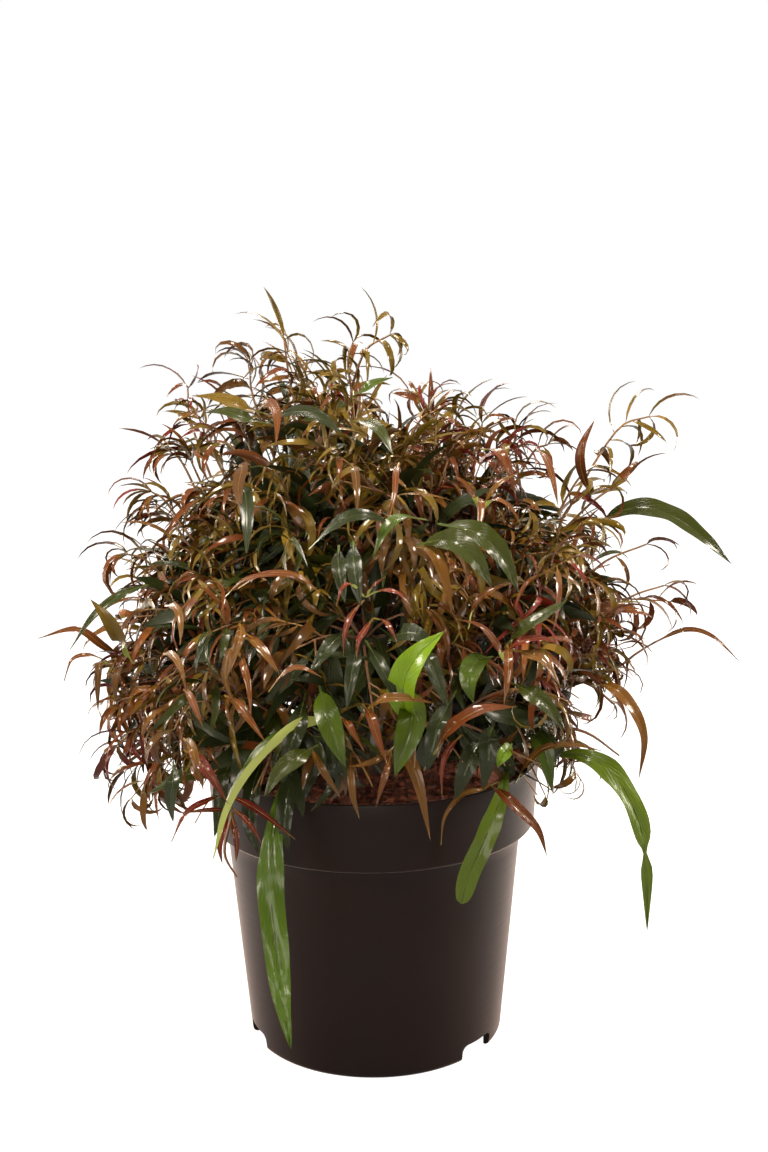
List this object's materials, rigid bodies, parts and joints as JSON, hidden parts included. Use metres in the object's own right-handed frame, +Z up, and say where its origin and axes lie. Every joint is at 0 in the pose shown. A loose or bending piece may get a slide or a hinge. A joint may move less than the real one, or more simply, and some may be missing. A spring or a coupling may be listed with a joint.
{
  "type": "potted leucothoe shrub",
  "caption": "Low evergreen shrub in a round plastic nursery pot: thin arching stems from one woody base carry a dome of narrow leaves, copper and red when young, over the soil and rim.",
  "frame": {"origin": "centre of the pot's flat underside", "axes": "+Z up along the pot's axis, -Y towards the plant's front, +X to the right seen from the front"},
  "size_m": [0.39, 0.3518, 0.422],
  "materials": {
    "pot_plastic": "satin dark brown moulded plastic with faint scuffs round it",
    "soil": "loose reddish coir and bark crumbs",
    "soil_crumb": "bark chips and coir crumbs",
    "bark": "thin rough brown bark",
    "young_shoot": "smooth reddish green shoot",
    "foliage": "leathery leaves, copper to green",
    "leaf_crimson": "glossy newest leaf",
    "leaf_copper": "glossy young leaf",
    "leaf_orange": "glossy young leaf",
    "leaf_bronze": "satin leaf",
    "leaf_olive": "satin leaf",
    "leaf_green": "satin leaf",
    "leaf_lime": "satin leaf",
    "leaf_dark": "leathery old leaf with a pale sheen",
    "leaf_underside": "matte pale underside"
  },
  "bodies": {
    "root": {"pot": "pot_plastic", "soil": "soil", "stem_base": "bark", "stem_leader": "bark", "stem_1": "bark", "stem_2": "bark", "stem_3": "bark", "stem_4": "bark", "stem_5": "bark", "stem_6": "bark", "stem_7": "bark", "bough_top": "bark", "bough_upper_1": "bark", "bough_upper_2": "bark", "bough_upper_3": "bark", "bough_upper_4": "bark", "bough_upper_5": "bark", "bough_middle_1": "bark", "bough_middle_2": "bark", "bough_middle_3": "bark", "bough_middle_4": "bark", "bough_middle_5": "bark", "bough_middle_6": "bark", "bough_middle_7": "bark", "bough_lower_1": "bark", "bough_lower_2": "bark", "bough_lower_3": "bark", "bough_lower_4": "bark", "bough_lower_5": "bark", "bough_lower_6": "bark", "bough_lower_7": "bark", "foliage_top": "foliage", "foliage_upper_1": "foliage", "foliage_upper_2": "foliage", "foliage_upper_3": "foliage", "foliage_upper_4": "foliage", "foliage_upper_5": "foliage", "foliage_middle_1": "foliage", "foliage_middle_2": "foliage", "foliage_middle_3": "foliage", "foliage_middle_4": "foliage", "foliage_middle_5": "foliage", "foliage_middle_6": "foliage", "foliage_middle_7": "foliage", "foliage_lower_1": "foliage", "foliage_lower_2": "foliage", "foliage_lower_3": "foliage", "foliage_lower_4": "foliage", "foliage_lower_5": "foliage", "foliage_lower_6": "foliage", "foliage_lower_7": "foliage"}
  },
  "joints": []
}
